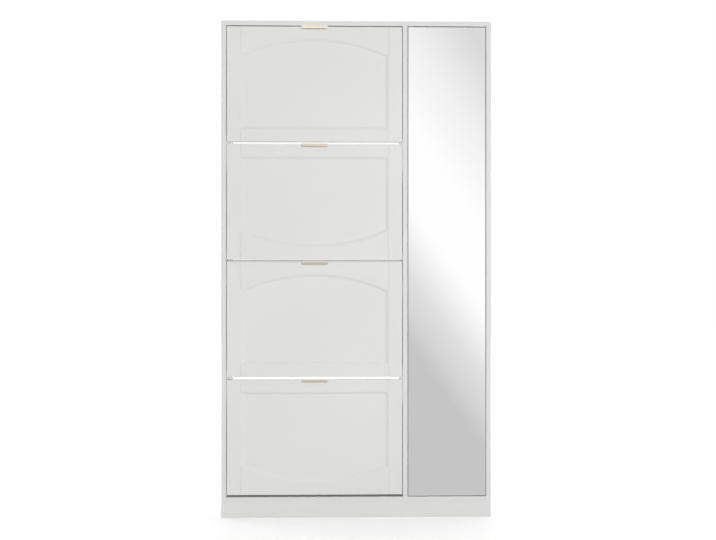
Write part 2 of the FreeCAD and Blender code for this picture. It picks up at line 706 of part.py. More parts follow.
def drawer(n):
    """All the pieces of drawer n, which swing together."""
    pivot = drawer_bottom(n) + PIVOT_RISE
    seats = pull_screw_seats(n, FRONT_REAR + PULL_SHEET)
    for hand in (1, -1):
        seats += flange_screw_seats(n, hand, FRONT_REAR + FLANGE)
    screws = [screw(seat, -Y, SCREW_LENGTH) for seat in seats]
    holes = [screw_hole(seat, -Y, SCREW_LENGTH) for seat in seats]
    nodes = {
        "front": [drawer_front(n, holes)],
        "pull": [pull(n)],
        "left_plate": [side_plate(n, 1)],
        "right_plate": [side_plate(n, -1)],
        "screws": screws,
    }
    for name, (y0, y1, z0, z1) in rack_boards().items():
        nodes[name] = [box(RACK_LEFT, RACK_RIGHT, PIVOT_Y + y0, PIVOT_Y + y1, pivot + z0, pivot + z1)]
    return {f"drawer_{n}_{name}": solids for name, solids in nodes.items()}


def hinge_cup(z):
    """Cup of one hinge, pressed into the back of the door, with its pin across it and two screws."""
    mouth = V(HINGE_X, DOOR_REAR, z)
    cup = rod(mouth, -Y, CUP_RADIUS - FIT, CUP_DEPTH)
    half = HINGE_EDGE - 2 * CUP_FLANGE
    corner = CUP_FLANGE_HEIGHT / 2
    corners = [(-half, -corner), (half, -corner), (half, corner), (-half, corner)]
    outline = rounded([(V(HINGE_X + x, DOOR_REAR, z + up), half / 2) for x, up in corners])
    flange = prism(outline, Y * CUP_FLANGE)
    hollow = rod(mouth + Y * CUP_FLANGE, -Y, CUP_RADIUS - CUP_WALL, CUP_FLANGE + CUP_DEPTH - CUP_WALL)
    shell = fused(cup, flange).cut(hollow)
    pin_half = CUP_RADIUS - CUP_WALL / 2
    pin = rod(V(HINGE_X, HINGE_Y, z - pin_half), Z, HINGE_PIN_RADIUS, 2 * pin_half)
    cuts["door_board"].append(rod(mouth, -Y, CUP_RADIUS, CUP_DEPTH))
    solids = []
    holes = []
    for side in (-1, 1):
        seat = V(HINGE_X, DOOR_REAR + CUP_FLANGE, z + side * CUP_SCREW_SPACING / 2)
        hole = screw_hole(seat, -Y, CUP_SCREW_LENGTH)
        solids.append(screw(seat, -Y, CUP_SCREW_LENGTH))
        holes.append(hole)
        cuts["door_board"].append(hole)
    return [fused(shell.cut(holes).Solids[0], pin)] + solids


def hinge_arm(z):
    """Arm of one hinge: a knuckle on the pin, a swan neck out of the cup, a straight body along the side."""
    low = z - ARM_WIDTH / 2
    sheet = ARM_SHEET / 2
    plate_x = RIGHT_INNER - MOUNT
    neck_x = HINGE_X - ARM_BACKSET
    cross_y = HINGE_Y + ARM_DEPTH

    def strip(x0, x1, y0, y1):
        return box(x0, x1, y0, y1, low, low + ARM_WIDTH)

    knuckle = rod(V(HINGE_X, HINGE_Y, low), Z, KNUCKLE_RADIUS, ARM_WIDTH)
    arm = fused(
        knuckle,
        strip(neck_x - sheet, HINGE_X, HINGE_Y - sheet, HINGE_Y + sheet),
        strip(neck_x - sheet, neck_x + sheet, HINGE_Y - sheet, cross_y + sheet),
        strip(neck_x - sheet, plate_x, cross_y - sheet, cross_y + sheet),
        strip(plate_x - ARM_BODY, plate_x, cross_y - sheet, cross_y + ARM_BODY_LENGTH),
    )
    bore = rod(V(HINGE_X, HINGE_Y, low), Z, HINGE_PIN_RADIUS + HINGE_RUNNING_CLEARANCE, ARM_WIDTH)
    return arm.cut(bore).Solids[0]


def hinge_mount(z):
    """Mounting plate of one hinge on the right side panel, and its two screws."""
    x0 = RIGHT_INNER - MOUNT
    y0 = HINGE_Y + ARM_DEPTH - ARM_SHEET / 2
    y1 = HINGE_Y + ARM_DEPTH + ARM_BODY_LENGTH
    middle = (y0 + y1) / 2
    spine = box(x0, RIGHT_INNER, y0, y1, z - MOUNT_WIDTH / 2, z + MOUNT_WIDTH / 2)
    wing_y = (middle - MOUNT_WING_DEPTH / 2, middle + MOUNT_WING_DEPTH / 2)
    wings = box(x0, RIGHT_INNER, wing_y[0], wing_y[1], z - MOUNT_WING / 2, z + MOUNT_WING / 2)
    screws = []
    holes = []
    for side in (-1, 1):
        seat = V(x0, middle, z + side * MOUNT_SCREW_SPACING / 2)
        hole = screw_hole(seat, X, SCREW_LENGTH)
        screws.append(screw(seat, X, SCREW_LENGTH))
        holes.append(hole)
        cuts["right_side_panel"].append(hole)
    return fused(spine, wings).cut(holes).Solids[0], screws


def latch():
    """Push latch on the divider: housing with two screwed ears, sprung plunger, strike disc on the door."""
    z = bay_middle(FIXED_SHELF)
    low = z - LATCH_HEIGHT / 2
    high = z + LATCH_HEIGHT / 2
    rear = LATCH_FRONT + LATCH_LENGTH
    body = box(DIVIDER_RIGHT, DIVIDER_RIGHT + LATCH_WIDTH, LATCH_FRONT, rear, low, high)
    ear_y = (LATCH_FRONT + rear) / 2
    ears = box(
        DIVIDER_RIGHT,
        DIVIDER_RIGHT + LATCH_EAR_THICKNESS,
        ear_y - LATCH_EAR / 2,
        ear_y + LATCH_EAR / 2,
        low - LATCH_EAR,
        high + LATCH_EAR,
    )
    mouth = V(LATCH_X, LATCH_FRONT, z)
    bore_length = PLUNGER_LENGTH - PLUNGER_STICKOUT + 2 * PLUNGER_TRAVEL
    holes = [rod(mouth, Y, PLUNGER_RADIUS + PLUNGER_CLEARANCE, bore_length)]
    screws = []
    for side in (-1, 1):
        seat = V(DIVIDER_RIGHT + LATCH_EAR_THICKNESS, ear_y, z + side * (LATCH_HEIGHT + LATCH_EAR) / 2)
        hole = screw_hole(seat, -X, SCREW_LENGTH)
        screws.append(screw(seat, -X, SCREW_LENGTH))
        holes.append(hole)
        cuts["divider_panel"].append(hole)
    housing = fused(body, ears).cut(holes).Solids[0]
    bar = rod(mouth - Y * PLUNGER_STICKOUT, Y, PLUNGER_RADIUS, PLUNGER_LENGTH)
    tip = [edge for edge in bar.Edges if edge.BoundBox.YMax < LATCH_FRONT]
    plunger = bar.makeFillet(PLUNGER_TIP, tip)
    strike = rod(V(LATCH_X, DOOR_REAR, z), Y, STRIKE_RADIUS, STRIKE)
    return {"latch_housing": [housing], "latch_plunger": [plunger], "latch_strike": [strike]}, screws


def mirror_door():
    """Door board and mirror with the hinges and the latch, on both sides of the gap."""
    cups = []
    arms = []
    mounts = []
    nodes, screws = latch()
    for bay in HINGE_BAYS:
        z = bay_middle(bay)
        cups += hinge_cup(z)
        arms.append(hinge_arm(z))
        mount, mount_screws = hinge_mount(z)
        mounts.append(mount)
        screws += mount_screws
    blank = board(DOOR_LEFT, DOOR_RIGHT, FRONT + GLASS, DOOR_REAR, DOOR_BOTTOM, DOOR_TOP)
    pane = box(
        DOOR_LEFT + GLASS_MARGIN,
        DOOR_RIGHT - GLASS_MARGIN,
        FRONT,
        FRONT + GLASS,
        DOOR_BOTTOM + GLASS_MARGIN,
        DOOR_TOP - GLASS_MARGIN,
    )
    rim = [edge for edge in pane.Edges if edge.BoundBox.YMax < FRONT + GLASS / 2]
    nodes["door_board"] = [machined("door_board", blank)]
    nodes["mirror_glass"] = [pane.makeChamfer(GLASS_MARGIN, rim)]
    nodes["hinge_cups"] = cups
    nodes["hinge_arms"] = arms
    nodes["hinge_mounts"] = mounts
    nodes["mirror_bay_screws"] = screws
    return nodes


def main():
    """Build every piece and write one file for each node."""
    nodes = {"pivot_studs": [], "stop_pegs": []}
    for n in range(1, DRAWER_COUNT + 1):
        nodes.update(drawer(n))
        studs, pegs = pivots(n)
        nodes["pivot_studs"] += studs
        nodes["stop_pegs"] += pegs
    nodes.update(loose_shelves())
    nodes.update(mirror_door())
    nodes.update(carcass_joints())
    nodes.update(carcass_boards())
    os.makedirs("parts", exist_ok=True)
    for name, solids in nodes.items():
        shape = solids[0] if len(solids) == 1 else Part.makeCompound(solids)
        shape.exportStep(f"parts/{name}.step")
    print(len(nodes), "nodes,", sum(len(solids) for solids in nodes.values()), "solids")


if __name__ == "__main__":
    main()
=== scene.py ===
# %% [markdown]
# # Dressing a mirrored shoe cabinet
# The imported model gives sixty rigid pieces, each at its real size and place, in metres. This lesson adds
# what the eye wants: finishes worked out from noise, and finer surfaces for the pieces that a picture
# shows best. Those are the routed drawer fronts, their bent pulls and the tall mirror. Nothing in the
# model is moved.

# %% Load the fixed frame
import json
import math

import bpy
import numpy as np
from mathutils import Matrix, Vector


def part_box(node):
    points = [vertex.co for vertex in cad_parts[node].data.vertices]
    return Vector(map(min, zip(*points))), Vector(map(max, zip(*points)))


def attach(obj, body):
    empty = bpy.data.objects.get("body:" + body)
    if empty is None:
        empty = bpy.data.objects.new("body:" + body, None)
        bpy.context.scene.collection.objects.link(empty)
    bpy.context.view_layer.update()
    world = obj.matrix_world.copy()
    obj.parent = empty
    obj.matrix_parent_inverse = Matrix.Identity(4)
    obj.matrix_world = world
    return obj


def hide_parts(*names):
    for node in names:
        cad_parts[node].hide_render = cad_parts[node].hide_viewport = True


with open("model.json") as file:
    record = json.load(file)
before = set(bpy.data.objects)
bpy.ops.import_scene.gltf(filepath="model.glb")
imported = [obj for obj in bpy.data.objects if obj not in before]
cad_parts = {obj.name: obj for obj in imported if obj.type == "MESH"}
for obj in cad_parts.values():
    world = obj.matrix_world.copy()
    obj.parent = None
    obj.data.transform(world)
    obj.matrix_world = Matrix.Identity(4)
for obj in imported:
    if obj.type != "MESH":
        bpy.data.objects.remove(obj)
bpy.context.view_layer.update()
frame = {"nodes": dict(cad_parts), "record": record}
scene = bpy.context.scene
MM = 0.001

# %% [markdown]
# ## The camera
# The picture looks at the cabinet almost square-on, from the height of its middle and a hair to the left
# of it. Its upright edges stay parallel, so the camera is level. The lens could be guessed and then
# tried, but it follows from two sizes: how far away the camera stands, and how wide a strip of the front
# plane it sees.

# %% Camera at the height of the cabinet's middle
PICTURE_WIDTH = 716
MM_PER_PIXEL = 3.708
CAMERA_DISTANCE = 3.5
CAMERA_YAW = math.radians(1.2)
CAMERA_HEIGHT = 0.917
AIM_X = 0.0056
SENSOR = 36.0

front_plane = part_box("top_panel")[0].y
lens = bpy.data.cameras.new("camera")
lens.sensor_width = SENSOR
lens.lens = SENSOR * CAMERA_DISTANCE / (PICTURE_WIDTH * MM_PER_PIXEL * MM)
camera = bpy.data.objects.new("camera", lens)
camera.location = (
    AIM_X - CAMERA_DISTANCE * math.sin(CAMERA_YAW),
    front_plane - CAMERA_DISTANCE * math.cos(CAMERA_YAW),
    CAMERA_HEIGHT,
)
camera.rotation_euler = (math.pi / 2, 0, -CAMERA_YAW)
scene.collection.objects.link(camera)
scene.camera = camera
scene.view_settings.view_transform = "Standard"
print("lens", round(lens.lens, 1), "mm, camera at", [round(c, 3) for c in camera.location])

# %% [markdown]
# ## A short way to write shader nodes
# Every finish below is a small graph of nodes. Adding each node takes three or four lines of Blender
# calls, so one helper does it: settings are the node's own properties, and inputs are its sockets, each
# set or linked. The other helpers stand for small graphs that come back often: a sum, a change of range,
# a mix of colours.

# %% Helpers that add nodes
MIX_COLOURS = (6, 7)
MIX_RESULT = 2


def add(tree, kind, inputs=None, **settings):
    """One new shader node, with its properties set and its sockets given a value or a link."""
    made = tree.nodes.new("ShaderNode" + kind)
    for name, value in settings.items():
        setattr(made, name, value)
    for key, value in (inputs or {}).items():
        if isinstance(value, bpy.types.NodeSocket):
            tree.links.new(value, made.inputs[key])
        else:
            made.inputs[key].default_value = value
    return made


def worked(tree, operation, first, second):
    """Two values put together by one operation of the Math node."""
    return add(tree, "Math", {0: first, 1: second}, operation=operation).outputs[0]


def carried(tree, value, span, levels=(0, 1), curve="LINEAR"):
    """A value carried from a span to two levels, straight or in a smooth step, and held beyond the ends."""
    ends = {"From Min": span[0], "From Max": span[1], "To Min": levels[0], "To Max": levels[1]}
    return add(tree, "MapRange", {"Value": value, **ends}, interpolation_type=curve).outputs[0]


def mixed(tree, share, *pair):
    """A pair of colours, each written out or linked, mixed by a share from 0 to 1."""
    colours = [(*c, 1.0) if isinstance(c, tuple) else c for c in pair]
    inputs = {0: share, **dict(zip(MIX_COLOURS, colours))}
    return add(tree, "Mix", inputs, data_type="RGBA").outputs[MIX_RESULT]


def graded(tree, value, stops):
    """Greys along a value: stops of a position and a level, both from 0 to 1, with straight lines between."""
    ramp = add(tree, "ValToRGB", {"Fac": value})
    marks = ramp.color_ramp.elements
    for position, _ in stops[1:-1]:
        marks.new(position)
    for mark, (_, level) in zip(marks, stops):
        mark.color = (level, level, level, 1)
    return ramp.outputs["Color"]


print("node helpers ready")

# %% [markdown]
# ## What the mirror sees
# A mirror has no colour of its own: it shows the studio. In the picture a soft white band leans across
# it, with a light grey above and an even grey below. That could be a lit card behind the camera, but a
# card has edges that would show from other sides. Here the world itself is graded along one leaning
# direction, for glossy rays only, and only on the camera's side: a glossy ray that goes backwards meets
# the white backdrop. Camera rays see plain white. All other rays see a soft fill light, weak from the
# camera's side and strong from behind, where the backdrop stands, so that light comes in through the
# cabinet's open back.

# %% World: white backdrop, soft fill, graded reflections
WHITE = (1.0, 1.0, 1.0)
FRONT_FILL = 0.30
BACK_FILL = 0.90
FILL_RISE = (0.0, 0.6)
BACKDROP_RISE = (0.0, 0.3)
BAND_LEAN = 1.4
BAND_SPAN = (-1.0, 1.0)
BAND_STOPS = [
    (-1.000, 0.66), (-0.790, 0.70), (-0.710, 0.98), (-0.650, 0.94), (-0.560, 0.62), (-0.470, 0.62),
    (-0.400, 0.88), (-0.350, 0.90), (-0.260, 0.60), (-0.100, 0.56), (0.016, 0.565), (0.040, 0.69),
    (0.053, 0.72), (0.099, 1.0), (0.150, 1.0), (0.205, 0.87), (0.254, 0.69), (0.340, 0.95),
    (0.580, 1.0), (0.680, 0.74), (0.800, 0.92), (1.000, 0.80),
]


def band_greys(tree, direction):
    """Greys that depend on the share of a direction along (lean, 0, 1), brought to length 1."""
    length = math.hypot(BAND_LEAN, 1)
    along = (BAND_LEAN / length, 0, 1 / length)
    share = add(tree, "VectorMath", {0: direction, 1: along}, operation="DOT_PRODUCT").outputs["Value"]
    low, high = BAND_SPAN
    stops = [((at - low) / (high - low), level) for at, level in BAND_STOPS]
    return graded(tree, carried(tree, share, BAND_SPAN), stops)


def studio_world():
    """The world: band and backdrop for glossy rays, white for straight ones, a soft fill for the rest."""
    world = bpy.data.worlds.new("studio")
    world.use_nodes = True
    tree = world.node_tree
    tree.nodes.clear()
    rays = add(tree, "LightPath").outputs
    direction = add(tree, "TexCoord").outputs["Generated"]
    depth = add(tree, "SeparateXYZ", {0: direction}).outputs["Y"]
    mirrored = mixed(tree, carried(tree, depth, BACKDROP_RISE), band_greys(tree, direction), WHITE)
    level = carried(tree, depth, FILL_RISE, (FRONT_FILL, BACK_FILL), "SMOOTHSTEP")
    fill = add(tree, "Background", {"Color": (*WHITE, 1.0), "Strength": level}).outputs[0]
    white = add(tree, "Background", {"Color": (*WHITE, 1.0), "Strength": 1.0}).outputs[0]
    seen = add(tree, "Background", {"Color": mirrored, "Strength": 1.0}).outputs[0]
    straight = worked(tree, "MAXIMUM", rays["Is Camera Ray"], rays["Is Transmission Ray"])
    backdrop = add(tree, "MixShader", {0: straight, 1: fill, 2: white}).outputs[0]
    whole = add(tree, "MixShader", {0: rays["Is Glossy Ray"], 1: backdrop, 2: seen}).outputs[0]
    add(tree, "OutputWorld", {"Surface": whole})
    return world


scene.world = studio_world()
print("world graded over", len(BAND_STOPS), "stops")

# %% [markdown]
# ## Floor and lamps
# The floor is one pale square. Floor and backdrop are white in the picture, so the floor adds a glow that
# only the camera sees. The glow is weak round the cabinet, where the lamps do most of the work and a soft
# shadow stays, and it rises further out, where they no longer reach. Light that bounces off the floor
# comes from a duller grey, because in the picture little light rises from below.

# %% Floor
FLOOR_HALF = 9.0
FLOOR_ROUGHNESS = 0.9
FLOOR_BOUNCE = 0.50
FLOOR_SEEN = 0.90
GLOW_NEAR = 0.30
GLOW_FAR = 0.85
GLOW_RISE = (1.2, 5.0)


def finish(name, **sockets):
    """A node material, with the even values set on its shader's own sockets, and its tree and shader."""
    material = bpy.data.materials.new(name)
    material.use_nodes = True
    shader = material.node_tree.nodes["Principled BSDF"]
    for socket, value in sockets.items():
        shader.inputs[socket.replace("_", " ")].default_value = value
    return material, material.node_tree, shader


def floor_finish():
    """For camera rays a grey and a glow, for all others a duller grey.

    The glow rises in a smooth step between two distances from the cabinet.
    """
    material, tree, shader = finish("pale_floor", Roughness=FLOOR_ROUGHNESS, Emission_Color=(*WHITE, 1.0))
    seen = add(tree, "LightPath").outputs["Is Camera Ray"]
    grey = carried(tree, seen, (0, 1), (FLOOR_BOUNCE, FLOOR_SEEN))
    tree.links.new(grey, shader.inputs["Base Color"])
    where = add(tree, "TexCoord").outputs["Object"]
    away = add(tree, "VectorMath", {0: where}, operation="LENGTH").outputs["Value"]
    level = carried(tree, away, GLOW_RISE, (GLOW_NEAR, GLOW_FAR), "SMOOTHSTEP")
    tree.links.new(worked(tree, "MULTIPLY", seen, level), shader.inputs["Emission Strength"])
    return material


def pale_floor():
    """One square face at height 0, which mirrors don't show."""
    mesh = bpy.data.meshes.new("floor")
    side = np.array([-FLOOR_HALF, FLOOR_HALF])
    x, y = np.meshgrid(side, side, indexing="ij")
    corners = np.stack([x, y, np.zeros_like(x)], -1).reshape(-1, 3)
    mesh.from_pydata(corners.tolist(), [], [(0, 2, 3, 1)])
    mesh.materials.append(floor_finish())
    floor = bpy.data.objects.new("floor", mesh)
    floor.visible_glossy = False
    scene.collection.objects.link(floor)


pale_floor()
print("floor", 2 * FLOOR_HALF, "m wide")

# %% [markdown]
# In the picture the slopes of the sunk panels that face left or down are only a little darker than the
# flat wood, so the main light comes nearly from the camera: one wide lamp far in front, a little to the
# right and above. The others are for what the picture doesn't show. One stands on each side, a little
# behind the cabinet, so that it reaches into the open back as well. One is behind, and one overhead
# lights the top and gives the shadow at the cabinet's foot. No lamp shows in the mirror.

# %% Lamps
FOOT = (0, 0, 0)
MIDDLE = (0, 0, 0.9)


def soft_lamp(name, place, aim, size, watts, spread=180):
    """A square area lamp that looks from a place at a point, with a spread in degrees."""
    light = bpy.data.lights.new(name, "AREA")
    light.size = size
    light.energy = watts
    light.spread = math.radians(spread)
    lamp = bpy.data.objects.new(name, light)
    lamp.location = place
    lamp.rotation_euler = (lamp.location - Vector(aim)).to_track_quat("Z", "Y").to_euler()
    lamp.visible_glossy = False
    lamp.visible_camera = False
    scene.collection.objects.link(lamp)


soft_lamp("front_lamp", place=(1.2, -8.5, 2.1), aim=FOOT, size=2.4, watts=240, spread=130)
soft_lamp("left_lamp", place=(-4.5, 2.2, 1.6), aim=MIDDLE, size=2.0, watts=66)
soft_lamp("right_lamp", place=(4.5, 2.2, 1.6), aim=MIDDLE, size=2.0, watts=64)
soft_lamp("back_lamp", place=(0.8, 3.6, 1.6), aim=MIDDLE, size=2.4, watts=15)
soft_lamp("top_lamp", place=(0, 0.8, 4.4), aim=(0, 0.2, 0), size=1.7, watts=44)
print(len(bpy.data.lights), "lamps")

# %% [markdown]
# ## Patterns for the finishes
# A finish looks real when its colour, gloss and relief all vary a little, each at its own scale. All of
# them come from noise on Object coordinates, which stay with a piece when it moves. Sizes are written in
# metres, as a maker would measure them: the blobs of a noise are about one over its scale across.

# %% Helpers for patterns
NOISE_MIDDLE = (0.3, 0.7)


def noise(tree, size, detail=2.0, stretch=(1, 1, 1)):
    """Noise from 0 to 1 with blobs of about a size in metres, drawn out by the stretch along each axis."""
    where = add(tree, "TexCoord").outputs["Object"]
    scale = tuple(1 / (size * s) for s in stretch)
    placed = add(tree, "Mapping", {"Vector": where, "Scale": scale}).outputs[0]
    return add(tree, "TexNoise", {"Vector": placed, "Scale": 1.0, "Detail": detail}).outputs[0]


def between(tree, value, low=0, high=1):
    """A noise value carried from its usual middle range to a low and a high level."""
    return carried(tree, value, NOISE_MIDDLE, (low, high))


def share_along(tree, coordinate, axis):
    """One axis of a texture coordinate: the place along it, or how far the normal leans that way."""
    return add(tree, "SeparateXYZ", {0: add(tree, "TexCoord").outputs[coordinate]}).outputs[axis]


def relief(tree, shader, *layers):
    """Bumps laid one over another on the shader's normal: heights from 0 to 1, with depths in metres."""
    normal = None
    for height, depth in layers:
        inputs = {"Height": height, "Distance": depth, "Strength": 1.0}
        if normal is not None:
            inputs["Normal"] = normal
        normal = add(tree, "Bump", inputs).outputs[0]
    tree.links.new(normal, shader.inputs["Normal"])


print("pattern helpers ready")

# %% [markdown]
# ## Bare fibreboard
# At the back, where the cabinet meets the wall, the makers leave the boards' edges unpainted, and the
# thin boards inside have raw edges too. Pressed fibre is brown, with short flecks, coarser crumbs and
# broad clouds. A picture of it would have to be unwrapped onto every edge. Three noises at three scales
# need no unwrapping.

# %% Bare fibre
FIBRE = (0.40, 0.285, 0.185)
FIBRE_DARK = (0.27, 0.185, 0.115)
FLECK = 0.9 * MM
FLECK_STRETCH = (2.5, 1, 2.5)
CRUMB = 6 * MM
CRUMB_SHARE = 0.3
FIBRE_CLOUD = 0.16
FIBRE_CLOUD_SHARE = 0.45


def bare_fibre(tree):
    """Pressed wood fibre: two browns in short flecks, darker again in coarse crumbs and in broad clouds."""
    flecks = between(tree, noise(tree, FLECK, 3, FLECK_STRETCH))
    crumbs = between(tree, noise(tree, CRUMB, 4), 0, CRUMB_SHARE)
    clouds = between(tree, noise(tree, FIBRE_CLOUD, 4), 0, FIBRE_CLOUD_SHARE)
    brown = mixed(tree, flecks, FIBRE, FIBRE_DARK)
    return mixed(tree, clouds, mixed(tree, crumbs, brown, FIBRE_DARK), FIBRE_DARK)


print("fibre", FIBRE, "to", FIBRE_DARK)

# %% [markdown]
# ## Satin white paint
# The boards are sprayed off-white. Sprayed paint is never quite flat: it has a fine orange-peel skin,
# wide faint clouds where the coat is thicker, and gloss that wanders a little. A thin lacquer on top
# hardly shows from the front, but at a flat angle it mirrors the backdrop, which is why the gaps beside
# the bright slits look pale. The surfaces of the boards that face the front, their cut edges, are given
# a touch greyer colour. Masks of place and facing find those edges, and the bare ones at the back.

# %% White paint, with and without bare rear edges
PAINT = (0.765, 0.765, 0.750)
PAINT_THIN = (0.742, 0.742, 0.724)
PAINT_EDGE = (0.737, 0.737, 0.722)
PAINT_IOR = 1.46
PAINT_CLOUD = 0.35
PAINT_GLOSS = (0.36, 0.46)
GLOSS_PATCH = 0.06
LACQUER = 0.42
LACQUER_ROUGHNESS = 0.12
PEEL = 4.0 * MM
PEEL_DEPTH = 0.035 * MM
FINE_PEEL = 1.1 * MM
FINE_PEEL_DEPTH = 0.012 * MM
FACING = 0.9
BARE_DEPTH = 1.2 * MM
rear_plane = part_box("top_panel")[1].y


def edge_colours(tree, colour):
    """A paint colour, greyer where the surface faces the front, and bare fibre where it faces the wall."""
    facing = share_along(tree, "Normal", "Y")
    ahead = worked(tree, "LESS_THAN", facing, -FACING)
    behind = worked(tree, "GREATER_THAN", share_along(tree, "Object", "Y"), rear_plane - BARE_DEPTH)
    bare = worked(tree, "MULTIPLY", behind, worked(tree, "GREATER_THAN", facing, FACING))
    return mixed(tree, bare, mixed(tree, ahead, colour, PAINT_EDGE), bare_fibre(tree))


def white_paint(name, bare_rear):
    """Sprayed paint: clouds in its colour, wandering gloss, two layers of orange peel and a thin lacquer."""
    sockets = {"IOR": PAINT_IOR, "Coat_Weight": LACQUER, "Coat_Roughness": LACQUER_ROUGHNESS}
    material, tree, shader = finish(name, **sockets)
    colour = mixed(tree, between(tree, noise(tree, PAINT_CLOUD, 3)), PAINT, PAINT_THIN)
    if bare_rear:
        colour = edge_colours(tree, colour)
    tree.links.new(colour, shader.inputs["Base Color"])
    gloss = between(tree, noise(tree, GLOSS_PATCH), *PAINT_GLOSS)
    tree.links.new(gloss, shader.inputs["Roughness"])
    relief(tree, shader, (noise(tree, PEEL, 1), PEEL_DEPTH), (noise(tree, FINE_PEEL), FINE_PEEL_DEPTH))
    return material


paint = white_paint("white_paint", False)
paint_bare_rear = white_paint("white_paint_bare_rear", True)
print("paint", PAINT)

# %% [markdown]
# ## Thin white-faced hardboard
# The boards of the flip racks and the sheet behind the mirror bay are thin hardboard with a white film on
# the face, so their cut edges are brown. The film has a faint print of the press cloth. On the back sheet
# only the inner face has the film, and the wall side shows the fibre. The normal tells the faces from the
# edges.

# %% Hardboard finishes
FILM = (0.735, 0.730, 0.705)
FILM_CLOUDED = (0.700, 0.693, 0.665)
FILM_CLOUD = 0.09
FILM_ROUGHNESS = 0.52
CLOTH = 0.7 * MM
CLOTH_DEPTH = 0.02 * MM
EDGE_LIMIT = 0.5
NO_LIMIT = 2.0


def hardboard(name, axis, bare_from, bare_to):
    """Bare fibre where the normal's share along an axis lies between two limits, and film elsewhere."""
    material, tree, shader = finish(name, Roughness=FILM_ROUGHNESS)
    film = mixed(tree, between(tree, noise(tree, FILM_CLOUD, 3)), FILM, FILM_CLOUDED)
    facing = share_along(tree, "Normal", axis)
    over = worked(tree, "GREATER_THAN", facing, bare_from)
    under = worked(tree, "LESS_THAN", facing, bare_to)
    bare = worked(tree, "MULTIPLY", over, under)
    tree.links.new(mixed(tree, bare, film, bare_fibre(tree)), shader.inputs["Base Color"])
    relief(tree, shader, (noise(tree, CLOTH, 1), CLOTH_DEPTH))
    return material


lying_board = hardboard("hardboard_lying", "Z", -EDGE_LIMIT, EDGE_LIMIT)
standing_board = hardboard("hardboard_standing", "Y", -EDGE_LIMIT, EDGE_LIMIT)
back_board = hardboard("hardboard_back", "Y", -EDGE_LIMIT, NO_LIMIT)
print("hardboard", FILM)

# %% [markdown]
# ## Metals
# The pulls are brushed along their length and tinted a pale champagne gold. A brushed finish is thousands
# of fine lines, so the noise that sets its gloss and relief is drawn out more than a hundredfold along X.
# The fittings behind are plated steel: zinc is dull and spangled, nickel is smoother and a little warm.

# %% Metal finishes
CHAMPAGNE = (0.93, 0.87, 0.73)
CHAMPAGNE_DEEP = (0.89, 0.82, 0.66)
BRUSHED = (120, 1, 1)
ZINC = (0.62, 0.63, 0.65)
ZINC_DULL = (0.50, 0.51, 0.53)
NICKEL = (0.70, 0.685, 0.655)
NICKEL_DULL = (0.61, 0.595, 0.565)


def metal(name, colours, grain, gloss, depth, stretch=(1, 1, 1)):
    """Metal whose colour, gloss and relief follow one grain, drawn out by the stretch."""
    material, tree, shader = finish(name, Metallic=1.0)
    lines = noise(tree, grain, 2, stretch)
    tree.links.new(mixed(tree, between(tree, lines), *colours), shader.inputs["Base Color"])
    tree.links.new(between(tree, lines, *gloss), shader.inputs["Roughness"])
    relief(tree, shader, (lines, depth))
    return material


champagne_pair = (CHAMPAGNE, CHAMPAGNE_DEEP)
champagne = metal("champagne_metal", champagne_pair, 0.22 * MM, (0.08, 0.16), 0.001 * MM, BRUSHED)
zinc = metal("zinc_steel", (ZINC, ZINC_DULL), 2.5 * MM, (0.34, 0.50), 0.004 * MM)
nickel = metal("nickel_steel", (NICKEL, NICKEL_DULL), 7.2 * MM, (0.18, 0.28), 0.001 * MM)
print("metals:", champagne.name, zinc.name, nickel.name)

# %% [markdown]
# The mirror is silver under glass: nearly white, nearly smooth, with a trace of polish marks. A perfectly
# smooth metal would look like a hole in the room, so its roughness rises a little where a cloth went over
# it, up and down.

# %% Silvered glass
SILVER = (0.985, 0.99, 0.988)
SILVER_GLOSS = (0.008, 0.022)
WIPE = 0.05
WIPE_STRETCH = (1, 1, 4)


def mirror_silver():
    """Silvered glass: even colour, with a roughness that rises a trace in wiped streaks."""
    material, tree, shader = finish("mirror_silver", Metallic=1.0, Base_Color=(*SILVER, 1.0))
    streaks = noise(tree, WIPE, 3, WIPE_STRETCH)
    tree.links.new(between(tree, streaks, *SILVER_GLOSS), shader.inputs["Roughness"])
    return material


silver = mirror_silver()
print("mirror:", silver.name)

# %% [markdown]
# ## Plastics, beech and glass edges
# The rack plates and the latch's housing are moulded in a light grey plastic with the fine grain of their
# mould. The latch's plunger, the pivots and the stop pegs are black nylon. The dowels are plain beech
# with grain along their length. The cut edge of the mirror is the one place where its glass shows: a
# dark, slightly green line.

# %% Plastic, wood and glass finishes
GREY = (0.56, 0.57, 0.58)
GREY_SHADE = (0.50, 0.51, 0.52)
BLACK = (0.030, 0.030, 0.032)
BLACK_SHADE = (0.045, 0.045, 0.047)
FLOW = 0.04
MOULD_GRAIN = 0.45 * MM
MOULD_DEPTH = 0.02 * MM
BEECH = (0.60, 0.40, 0.235)
BEECH_FLECK = (0.45, 0.275, 0.145)
GLASS_EDGE = (0.16, 0.24, 0.21)
GLASS_EDGE_PALE = (0.26, 0.35, 0.31)
STREAK_DEPTH = 0.01 * MM


def moulded(name, body, shade, gloss):
    """Moulded plastic: faint flow clouds, and a fine even grain in gloss and relief."""
    material, tree, shader = finish(name)
    flow = between(tree, noise(tree, FLOW, 3))
    tree.links.new(mixed(tree, flow, body, shade), shader.inputs["Base Color"])
    grain = noise(tree, MOULD_GRAIN, 1)
    tree.links.new(between(tree, grain, *gloss), shader.inputs["Roughness"])
    relief(tree, shader, (grain, MOULD_DEPTH))
    return material


def streaked(name, body, streak, size, stretch, roughness):
    """A colour with streaks of another, drawn out by the stretch."""
    material, tree, shader = finish(name, Roughness=roughness)
    lines = noise(tree, size, 3, stretch)
    tree.links.new(mixed(tree, between(tree, lines), body, streak), shader.inputs["Base Color"])
    relief(tree, shader, (lines, STREAK_DEPTH))
    return material


